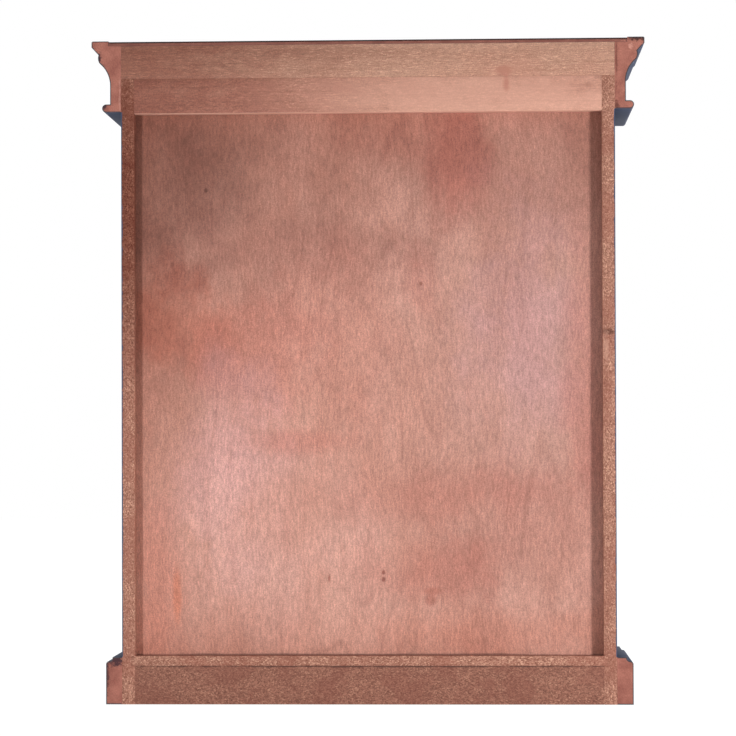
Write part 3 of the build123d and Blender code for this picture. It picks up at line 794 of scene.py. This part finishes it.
def mouldings(name, outline, bottom_z):
    """The left return, the front and the right return, mitred at the front corners."""
    def ring(hand, at_wall):
        return [Vector((hand * (SIDE_X + out * MILLIMETRE),
                        REAR_Y if at_wall else FRONT_Y - out * MILLIMETRE,
                        bottom_z + up * MILLIMETRE)) for out, up in outline]
    left = moulding(name + "_left", outline, (ring(-1, True), ring(-1, False)), (True, False))
    front = moulding(name + "_front", outline, (ring(-1, False), ring(1, False)), (False, False))
    right = moulding(name + "_right", outline, (ring(1, True), ring(1, False)), (True, False))
    print(name, "faces:", [len(piece.data.polygons) for piece in (left, front, right)])


mouldings("crown", crown_outline(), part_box("crown_front")[0].z)
mouldings("base_moulding", base_outline(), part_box("base_moulding_front")[0].z)

# %% [markdown]
# ## Finding the separate solids of a piece
# Some CAD pieces hold several loose solids, such as the eight clips of a door. To drive a screw
# through each, the script has to know where each one is. Vertices that share faces belong to one
# solid, so walking from face to face collects it.

# %% Boxes of the loose solids in a CAD piece
def loose_boxes(node):
    """(lowest corner, highest corner) of each separate solid of a CAD piece."""
    shape = bmesh.new()
    shape.from_mesh(frame["nodes"][node].data)
    bmesh.ops.remove_doubles(shape, verts=shape.verts, dist=0.002 * MILLIMETRE)
    waiting = set(shape.verts)
    boxes = []
    while waiting:
        group = {waiting.pop()}
        border = list(group)
        while border:
            for edge in border.pop().link_edges:
                for vertex in edge.verts:
                    if vertex in waiting:
                        waiting.discard(vertex)
                        group.add(vertex)
                        border.append(vertex)
        low = Vector([min(vertex.co[i] for vertex in group) for i in range(3)])
        high = Vector([max(vertex.co[i] for vertex in group) for i in range(3)])
        boxes.append((low, high))
    shape.free()
    return sorted(boxes, key=lambda box: tuple(box[0]))


print("clips on one door:", len(loose_boxes("left_door_mirror_clips")))

# %% [markdown]
# ## A tree that puts one shape on many points
# Screws are the same shape again and again, so Geometry Nodes make them: one head is modelled in
# the tree and instanced on a cloud of points. Each point carries a vector that says which way its
# screw faces. A random turn about that axis keeps the cross recesses from lining up, as on a
# real job. The tree ends with real geometry and a material, since an export drops instances.

# %% Geometry Nodes that repeat a shape on points
SPIN_SEED = 7
HALF_TURN = 3.14


def new_repeat_tree(name, sizes):
    """A tree with an input for the points and one for each size: (tree, group input node)."""
    tree = bpy.data.node_groups.new(name, "GeometryNodeTree")
    tree.interface.new_socket("Points", in_out="INPUT", socket_type="NodeSocketGeometry")
    for size in sizes:
        tree.interface.new_socket(size, in_out="INPUT", socket_type="NodeSocketFloat")
    tree.interface.new_socket("Finish", in_out="INPUT", socket_type="NodeSocketMaterial")
    tree.interface.new_socket("Geometry", in_out="OUTPUT", socket_type="NodeSocketGeometry")
    return tree, put(tree, "NodeGroupInput")


def finish_repeat_tree(tree, given, shape):
    """Instance the shape on the points, turn each one, and make it real."""
    facing = put(tree, "GeometryNodeInputNamedAttribute", {"Name": "facing"}, data_type="FLOAT_VECTOR")
    turn = put(tree, "FunctionNodeAlignRotationToVector", {"Vector": facing.outputs[0]}, axis="Z")
    spread = put(tree, "GeometryNodeInstanceOnPoints", {
        "Points": given.outputs["Points"], "Instance": shape, "Rotation": turn.outputs[0]})
    spin = put(tree, "FunctionNodeRandomValue", {"Seed": SPIN_SEED}, data_type="FLOAT_VECTOR")
    spin.inputs[0].default_value = (0, 0, 0)
    spin.inputs[1].default_value = (0, 0, HALF_TURN)
    spun = put(tree, "GeometryNodeRotateInstances", {
        "Instances": spread.outputs[0], "Rotation": spin.outputs[0], "Local Space": True})
    real = put(tree, "GeometryNodeRealizeInstances", {0: spun.outputs[0]})
    dressed = put(tree, "GeometryNodeSetMaterial", {
        "Geometry": real.outputs[0], "Material": given.outputs["Finish"]})
    put(tree, "NodeGroupOutput", {"Geometry": dressed.outputs[0]})


def cross_recess(tree, head, given):
    """Cut the cross that a driver fits, two thin blocks at right angles, into a head."""
    def block(length, width):
        size = put(tree, "ShaderNodeCombineXYZ", {
            "X": length, "Y": width, "Z": given.outputs["Recess depth"]})
        return put(tree, "GeometryNodeMeshCube", {"Size": size.outputs[0]}).outputs[0]
    long, wide = given.outputs["Recess length"], given.outputs["Recess width"]
    up = put(tree, "ShaderNodeCombineXYZ", {"Z": given.outputs["Head top"]})
    cutters = put(tree, "GeometryNodeJoinGeometry")
    tree.links.new(block(long, wide), cutters.inputs[0])
    tree.links.new(block(wide, long), cutters.inputs[0])
    raised = put(tree, "GeometryNodeTransform", {
        "Geometry": cutters.outputs[0], "Translation": up.outputs[0]})
    cut = put(tree, "GeometryNodeMeshBoolean", operation="DIFFERENCE")
    tree.links.new(head, cut.inputs[0])
    tree.links.new(raised.outputs[0], cut.inputs[1])
    return cut.outputs[0]


print("repeat helpers ready, with seed", SPIN_SEED)

# %% [markdown]
# ## Two kinds of screw head
# Hinge leaves and clips take flat heads, which sit level with the metal. The catches and the
# knobs take domed heads, which stand on the surface. A flat head is a cone with its wide end up.
# A domed one is a flattened ball, whose lower half is hidden in what it holds. A third tree
# leaves the dome without its recess, for the ends of the hinge pins.

# %% The screw trees
RECESS_SIZES = ("Recess length", "Recess width", "Recess depth")
HEAD_SIZES = ("Head radius", "Head top")
HEAD_SIDES, HEAD_RINGS = 28, 14


def flattened_ball(tree, given):
    """A ball as wide as the head, and as high above its middle as the head's top."""
    ball = put(tree, "GeometryNodeMeshUVSphere", {"Segments": HEAD_SIDES, "Rings": HEAD_RINGS, "Radius": 1.0})
    radius, top = given.outputs["Head radius"], given.outputs["Head top"]
    size = put(tree, "ShaderNodeCombineXYZ", {"X": radius, "Y": radius, "Z": top})
    return put(tree, "GeometryNodeTransform", {
        "Geometry": ball.outputs[0], "Scale": size.outputs[0]}).outputs[0]


flat_screws, given = new_repeat_tree("flat headed screws", (*HEAD_SIZES, "Head depth", *RECESS_SIZES))
radius, top, depth = (given.outputs["Head " + size] for size in ("radius", "top", "depth"))
cone = put(flat_screws, "GeometryNodeMeshCone", {
    "Vertices": HEAD_SIDES, "Radius Top": radius,
    "Radius Bottom": calc(flat_screws, "MULTIPLY", radius, 0.5), "Depth": depth})
drop = put(flat_screws, "ShaderNodeCombineXYZ", {"Z": calc(flat_screws, "SUBTRACT", top, depth)})
sunk = put(flat_screws, "GeometryNodeTransform", {
    "Geometry": cone.outputs[0], "Translation": drop.outputs[0]})
finish_repeat_tree(flat_screws, given, cross_recess(flat_screws, sunk.outputs[0], given))

domed_screws, given = new_repeat_tree("domed screws", (*HEAD_SIZES, *RECESS_SIZES))
dome = flattened_ball(domed_screws, given)
finish_repeat_tree(domed_screws, given, cross_recess(domed_screws, dome, given))

domes, given = new_repeat_tree("plain domes", HEAD_SIZES)
finish_repeat_tree(domes, given, flattened_ball(domes, given))
print("trees:", flat_screws.name + ",", domed_screws.name, "and", domes.name)

# %% [markdown]
# ## From a tree to a plain mesh
# The tree runs as a modifier on a cloud of points. Its inputs are set by their identifiers before
# anything is evaluated, and the result is copied to a plain mesh. The screws of a mesh are all
# on one body, so a door takes its own along when it opens.

# %% From points to a mesh that rides a body
FRONT, REAR = Vector((0, -1, 0)), Vector((0, 1, 0))
DOWN, UP = Vector((0, 0, -1)), Vector((0, 0, 1))


def repeat(name, tree, pairs, body, finish, slot, **sizes):
    """Run a tree on (place, facing) pairs and let the result move with a body."""
    mesh = bpy.data.meshes.new(name + "_points")
    mesh.from_pydata([place for place, _ in pairs], [], [])
    facing = mesh.attributes.new("facing", "FLOAT_VECTOR", "POINT")
    for index, (_, direction) in enumerate(pairs):
        facing.data[index].vector = direction
    cloud = bpy.data.objects.new(name + "_points", mesh)
    bpy.context.scene.collection.objects.link(cloud)
    modifier = cloud.modifiers.new("repeat", "NODES")
    modifier.node_group = tree
    for item in tree.interface.items_tree:
        if item.in_out == "INPUT" and item.socket_type == "NodeSocketFloat":
            modifier[item.identifier] = sizes[item.name.lower().replace(" ", "_")]
        if item.in_out == "INPUT" and item.socket_type == "NodeSocketMaterial":
            modifier[item.identifier] = finish
    made = plain_mesh(cloud, name)
    made.data.shade_smooth()
    made.data.set_sharp_from_angle(angle=radians(30))
    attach(made, body)
    print(name + ":", len(pairs), "places,", len(made.data.polygons), "faces")


print("ready to repeat shapes on points")

# %% [markdown]
# ## Where the screws go
# Each place is worked out from the CAD pieces that the screw holds: three to a hinge leaf, one
# through each mirror clip, two in each strike plate, one in each ear of a catch, and one through
# the door into each knob.

# %% Screw places
HINGE_SCREW_STEP = 17 * MILLIMETRE
HINGE_SCREW_STAGGER = 3 * MILLIMETRE
LEAF_WIDTH = 22 * MILLIMETRE
HINGE_HEIGHT = 50 * MILLIMETRE
LEAF_GAP_HALF = 0.2 * MILLIMETRE
CLIP_SCREW_OUT = 3.5 * MILLIMETRE
EAR_MIDDLE, EAR_THICKNESS = 4.5 * MILLIMETRE, 3 * MILLIMETRE
joint_place = {joint["child"]: Vector(joint["pos_m"]) for joint in frame["joints"]}


def hinge_screw_places(side, facing):
    """Three places on each of a side's two leaves that face the same way."""
    low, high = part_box(side + "_hinge_frame_leaves")
    hand = -1 if side == "left" else 1
    edge_x = min(abs(low.x), abs(high.x)) + LEAF_WIDTH
    leaf_y = joint_place[side + "_door"].y - facing.y * LEAF_GAP_HALF
    for centre_z in (low.z + HINGE_HEIGHT / 2, high.z - HINGE_HEIGHT / 2):
        for step in (-1, 0, 1):
            stagger = HINGE_SCREW_STAGGER * (1 - 2 * abs(step))
            x = hand * (edge_x - LEAF_WIDTH / 2 + stagger)
            yield Vector((x, leaf_y, centre_z + step * HINGE_SCREW_STEP)), facing


def clip_screw_places(side):
    """One place near the rounded end of each mirror clip."""
    door_low, door_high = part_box(side + "_door_mirror")
    middle = (door_low + door_high) / 2
    for low, high in loose_boxes(side + "_door_mirror_clips"):
        centre = (low + high) / 2
        along = 0 if high.x - low.x > high.z - low.z else 2
        place = Vector((centre.x, high.y, centre.z))
        away = 1 if centre[along] > middle[along] else -1
        place[along] += away * CLIP_SCREW_OUT
        yield place, REAR


def strike_screw_places(side):
    """Two places, near the ends of a strike plate."""
    low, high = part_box(side + "_door_strike_plate")
    for share in (0.2, 0.8):
        yield Vector((low.x + (high.x - low.x) * share, high.y, (low.z + high.z) / 2)), REAR


def catch_screw_places():
    """One place under each ear of the two catches."""
    for low, high in loose_boxes("catch_housings"):
        for x in (low.x + EAR_MIDDLE, high.x - EAR_MIDDLE):
            yield Vector((x, (low.y + high.y) / 2, high.z - EAR_THICKNESS)), DOWN


def knob_screw_places(side):
    """One place behind a knob, on the door's backing board."""
    low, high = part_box(side + "_door_knob")
    back_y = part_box(side + "_door_backing_board")[1].y
    yield Vector(((low.x + high.x) / 2, back_y, (low.z + high.z) / 2)), REAR


frame_screws = [pair for side in ("left", "right") for pair in hinge_screw_places(side, FRONT)]
print(len(frame_screws), "screws hold the hinges to the cabinet")

# %% [markdown]
# ## Drive the screws
# A 3 mm hinge screw, a 2.5 mm clip screw, a domed catch screw and the machine screw of a knob
# differ only in their sizes, so each is a short list of named sizes for one of the two trees.

# %% Screws in their places
def screw_head(radius, top, recess_length, recess_width, recess_depth, **more):
    """The sizes of a head, given in millimetres, under the names of the trees' inputs."""
    sizes = {"head_radius": radius, "head_top": top, "recess_length": recess_length,
             "recess_width": recess_width, "recess_depth": recess_depth, **more}
    return {name: size * MILLIMETRE for name, size in sizes.items()}


hinge_head = screw_head(2.7, 0.08, recess_length=3.0, recess_width=0.7, recess_depth=1.6, head_depth=1.2)
clip_head = screw_head(2.3, 0.3, recess_length=2.6, recess_width=0.6, recess_depth=1.4, head_depth=1.2)
catch_head = screw_head(2.8, 1.6, recess_length=3.0, recess_width=0.7, recess_depth=1.8)
knob_head = screw_head(4.2, 1.8, recess_length=4.6, recess_width=1.0, recess_depth=2.2)


def drive(name, tree, pairs, body, head):
    """Put zinc plated screws in their places, as part of a body."""
    repeat(name, tree, list(pairs), body, screw_metal, "bright_plate", **head)


drive("frame_hinge_screws", flat_screws, frame_screws, "cabinet", hinge_head)
drive("catch_screws", domed_screws, catch_screw_places(), "cabinet", catch_head)
for side in ("left", "right"):
    body = side + "_door"
    small_screws = [*clip_screw_places(side), *strike_screw_places(side)]
    drive(body + "_hinge_screws", flat_screws, hinge_screw_places(side, REAR), body, hinge_head)
    drive(body + "_small_screws", flat_screws, small_screws, body, clip_head)
    drive(body + "_knob_screw", domed_screws, knob_screw_places(side), body, knob_head)

# %% [markdown]
# ## Peened ends of the hinge pins
# A hinge pin is hammered over at both ends so that it can't slide out, which leaves a low dome on
# the barrel. The same kind of tree makes it, with a flattened ball for the shape.

# %% Pin tips
PIN_TIP_RADIUS, PIN_TIP_HEIGHT = 2.1 * MILLIMETRE, 0.9 * MILLIMETRE
for side in ("left", "right"):
    tips = []
    for low, high in loose_boxes(side + "_hinge_pins"):
        middle_x, middle_y = (low.x + high.x) / 2, (low.y + high.y) / 2
        tips.append((Vector((middle_x, middle_y, high.z)), UP))
        tips.append((Vector((middle_x, middle_y, low.z)), DOWN))
    repeat(side + "_hinge_pin_tips", domes, tips, "cabinet", satin_nickel, "satin_nickel",
           head_radius=PIN_TIP_RADIUS, head_top=PIN_TIP_HEIGHT)

# %% [markdown]
# ## Knobs
# A knob is turned on a lathe, so its shape is one outline swept round an axis. The CAD piece has
# the outline with plain corners. Here the outline is drawn again with soft ones and a slightly
# domed face, as (radius, distance forward) in millimetres, and spun in steps, as a lathe would do
# it. A subdivided cylinder could do it too, but an outline keeps every radius as it is given.

# %% Spun knobs
def spun(name, outline, centre, steps=48):
    """Turn (radius, distance forward) points about a line that runs forward from the centre."""
    shape = bmesh.new()
    corners = [shape.verts.new(centre + Vector((radius, -forward, 0))) for radius, forward in outline]
    edges = [shape.edges.new(pair) for pair in zip(corners, corners[1:])]
    bmesh.ops.spin(shape, geom=corners + edges, cent=centre, axis=(0, 1, 0), angle=radians(360),
                   steps=steps, use_duplicate=False)
    bmesh.ops.remove_doubles(shape, verts=shape.verts, dist=0.01 * MILLIMETRE)
    bmesh.ops.recalc_face_normals(shape, faces=shape.faces)
    return new_piece(name, shape, satin_nickel)


KNOB_FOOT = (0.0, 0.0), (8.5, 0.0), (8.5, 2.0), (8.2, 2.4)
KNOB_WAIST = (6.4, 2.7), (5.6, 3.6), (5.3, 6.0), (5.3, 11.0), (5.7, 14.2), (6.8, 16.2), (9.0, 17.0)
KNOB_RIM = (12.6, 17.2), (14.2, 17.9), (14.9, 19.2), (15.0, 20.6), (14.7, 22.1), (13.8, 23.3)
KNOB_FACE = (12.0, 24.1), (8.0, 24.7), (4.0, 24.95), (0.0, 25.0)
KNOB_OUTLINE = KNOB_FOOT + KNOB_WAIST + KNOB_RIM + KNOB_FACE
for side in ("left", "right"):
    low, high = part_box(side + "_door_knob")
    foot = Vector(((low.x + high.x) / 2, high.y, (low.z + high.z) / 2))
    outline = [(radius * MILLIMETRE, forward * MILLIMETRE) for radius, forward in KNOB_OUTLINE]
    turned = spun(side + "_door_turned_knob", outline, foot)
    turned.data.shade_smooth()
    turned.data.set_sharp_from_angle(angle=radians(50))
    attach(turned, side + "_door")
    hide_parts(side + "_door_knob")
    print(turned.name, "has", len(turned.data.polygons), "faces")

# %% [markdown]
# ## The studio
# The photo has a plain white background. White comes from what the camera's rays see, never from
# more light on the wood. The floor is lit a little as the camera sees it, so that it keeps the
# cabinet's shadow. Mirrors would be blank in a white room, so their rays see one that grows
# dimmer to one side and downwards.

# %% The floor
ROOM_LEVEL = 0.78
FLOOR_REACH = 8.0
FLOOR_BELOW = 0.2 * MILLIMETRE
FLOOR_GLOW, FLOOR_SHADE = 0.97, 0.16


def grey(level):
    return (level, level, level, 1)


def white_for_the_camera(tree, lit, seen):
    """Camera, mirror and glass rays get what is to be seen; every other ray gets what is lit."""
    ray = put(tree, "ShaderNodeLightPath")
    direct = calc(tree, "ADD", ray.outputs["Is Camera Ray"], ray.outputs["Is Glossy Ray"])
    direct = calc(tree, "MINIMUM", calc(tree, "ADD", direct, ray.outputs["Is Transmission Ray"]), 1.0)
    return put(tree, "ShaderNodeMixShader", {0: direct, 1: lit, 2: seen}).outputs[0]


def seen_another_way_in_mirrors(tree, direct, mirrored):
    """Rays that come from a mirror see one thing, and the camera's own rays another."""
    from_mirror = put(tree, "ShaderNodeLightPath").outputs["Is Glossy Ray"]
    return put(tree, "ShaderNodeMixShader", {0: from_mirror, 1: direct, 2: mirrored}).outputs[0]


floor_shape = bmesh.new()
bmesh.ops.create_grid(floor_shape, x_segments=1, y_segments=1, size=FLOOR_REACH,
                      matrix=Matrix.Translation((0, 0, -FLOOR_BELOW)))
floor_paper = bpy.data.materials.new("pale floor paper")
floor_paper.use_nodes = True
tree = floor_paper.node_tree
tree.nodes.clear()
paper = put(tree, "ShaderNodeBsdfDiffuse", {"Color": grey(0.82)})
faint_paper = put(tree, "ShaderNodeBsdfDiffuse", {"Color": grey(FLOOR_SHADE)})
glow = put(tree, "ShaderNodeEmission", {"Color": grey(FLOOR_GLOW), "Strength": 1.0})
bright_paper = put(tree, "ShaderNodeAddShader", {0: faint_paper.outputs[0], 1: glow.outputs[0]})
mirrored_paper = put(tree, "ShaderNodeEmission", {"Color": grey(1), "Strength": ROOM_LEVEL})
seen = seen_another_way_in_mirrors(tree, bright_paper.outputs[0], mirrored_paper.outputs[0])
whole = white_for_the_camera(tree, paper.outputs[0], seen)
put(tree, "ShaderNodeOutputMaterial", {"Surface": whole})
floor = new_piece("studio_floor", floor_shape, floor_paper)
floor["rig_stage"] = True
print("floor at z =", -FLOOR_BELOW)

# %% [markdown]
# ## The room
# A world shader gives a faint light from all round, and white where the camera looks past the
# cabinet. For mirrors, its strength follows the direction that a ray goes in.

# %% The world
SIDE_FADE, UP_FADE, DIMMEST = 0.45, 0.35, 0.35
SOFT_LIGHT = 0.30

world = bpy.data.worlds.new("studio")
world.use_nodes = True
bpy.context.scene.world = world
tree = world.node_tree
tree.nodes.clear()
direction = put(tree, "ShaderNodeTexCoord").outputs["Generated"]
level = calc(tree, "MULTIPLY_ADD", axis(tree, direction, "X"), SIDE_FADE, ROOM_LEVEL)
level = calc(tree, "MULTIPLY_ADD", axis(tree, direction, "Z"), UP_FADE, level)
level = calc(tree, "MAXIMUM", calc(tree, "MINIMUM", level, 1.0), DIMMEST)
soft_light = put(tree, "ShaderNodeBackground", {"Color": grey(1), "Strength": SOFT_LIGHT})
white_room = put(tree, "ShaderNodeBackground", {"Color": grey(1), "Strength": 1.0})
mirrored_room = put(tree, "ShaderNodeBackground", {"Color": grey(1), "Strength": level})
seen = seen_another_way_in_mirrors(tree, white_room.outputs[0], mirrored_room.outputs[0])
whole = white_for_the_camera(tree, soft_light.outputs[0], seen)
put(tree, "ShaderNodeOutputWorld", {"Surface": whole})
print("white room, with", SOFT_LIGHT, "of light from all round")

# %% [markdown]
# ## Lamps
# The photo's shadows show two small lamps behind the cabinet, one on each side and a little lower
# than the camera. The one at the image's left is nearer and smaller, so its shadow of the side
# board has the sharper edge. Two large lamps in front, which the photo doesn't show, light the
# doors for the other views, and reflections leave them out.

# %% Lamps
def lamp(name, place, aim, size, power, in_reflections=True):
    """A square lamp at a place, facing another."""
    light = bpy.data.lights.new(name, "AREA")
    light.shape = "SQUARE"
    light.size = size
    light.energy = power
    made = bpy.data.objects.new(name, light)
    made.location = place
    made.rotation_euler = (Vector(aim) - Vector(place)).to_track_quat("-Z", "Y").to_euler()
    made.visible_camera = False
    made.visible_glossy = in_reflections
    bpy.context.scene.collection.objects.link(made)
    made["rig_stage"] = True


BACK_MIDDLE = (0.0, REAR_Y, 0.35)
DOORS_MIDDLE = (0, 0, 0.4)
LAMP_Y = REAR_Y + 1.5
lamp("rear lamp at the image's left", (1.04, LAMP_Y, 0.22), BACK_MIDDLE, size=0.14, power=12.5)
lamp("rear lamp at the image's right", (-1.66, LAMP_Y, 0.20), BACK_MIDDLE, size=0.26, power=32)
lamp("front lamp, left", (-1.6, -2.2, 1.3), DOORS_MIDDLE, size=1.6, power=40, in_reflections=False)
lamp("front lamp, right", (1.8, -2.0, 0.9), DOORS_MIDDLE, size=1.2, power=22, in_reflections=False)
print("lamps:", len(bpy.data.lights))

# %% [markdown]
# ## The camera
# In the photo, lines that run away from the camera all point at one spot, a little below and to
# the right of the middle. That spot is where the camera stands, seen along its own line of sight.
# How fast they close in gives its distance, about three and a third metres, so the lens is long.
# Upright edges stay parallel in the photo, so the lens is shifted up a little and the camera
# tilts less. It also leans by a fifth of a degree, as cameras set by hand do. The last quarter of
# a percent of zoom and half a pixel of lift laid the cabinet's outline on the photo's.

# %% Camera from the photo's vanishing point
PHOTO_SIZE = 736
VANISHING_COLUMN, VANISHING_ROW = 478, 444
CAMERA_DISTANCE = 3.335
SENSOR = 36.0
SHIFT_UP = 0.06
LEAN = radians(0.18)
ZOOM = 1.0025
LIFT_ROWS = 0.5
camera_place = Vector((photo_x(VANISHING_COLUMN), REAR_Y + CAMERA_DISTANCE, photo_z(VANISHING_ROW)))
aim_row = PHOTO_SIZE / 2 + SHIFT_UP * PHOTO_SIZE + LIFT_ROWS
camera_aim = Vector((photo_x(PHOTO_SIZE / 2), REAR_Y, photo_z(aim_row)))
lens = bpy.data.cameras.new("camera")
lens.sensor_width = SENSOR
lens.lens = ZOOM * SENSOR * (camera_aim - camera_place).length / (PHOTO_SIZE * PIXEL)
lens.shift_y = SHIFT_UP
camera = bpy.data.objects.new("camera", lens)
camera.location = camera_place
camera.rotation_mode = "QUATERNION"
looking = (camera_aim - camera_place).to_track_quat("-Z", "Y")
camera.rotation_quaternion = looking @ Quaternion((0, 0, 1), -LEAN)
bpy.context.scene.collection.objects.link(camera)
bpy.context.scene.camera = camera
bpy.context.scene.view_settings.view_transform = "Standard"
print("lens", round(lens.lens, 1), "mm, camera at", tuple(round(value, 3) for value in camera_place))

# %% [markdown]
# ## The last measurement
# Dressing must not change the cabinet's size, so its box is measured again, printed, and set
# beside the CAD model's box in a small table.

# %% Measure the box again and finish
low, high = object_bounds()
{"cad": [list(cad_low), list(cad_high)], "visual": [list(low), list(high)]}
print("visual box in metres:", tuple(low), tuple(high))
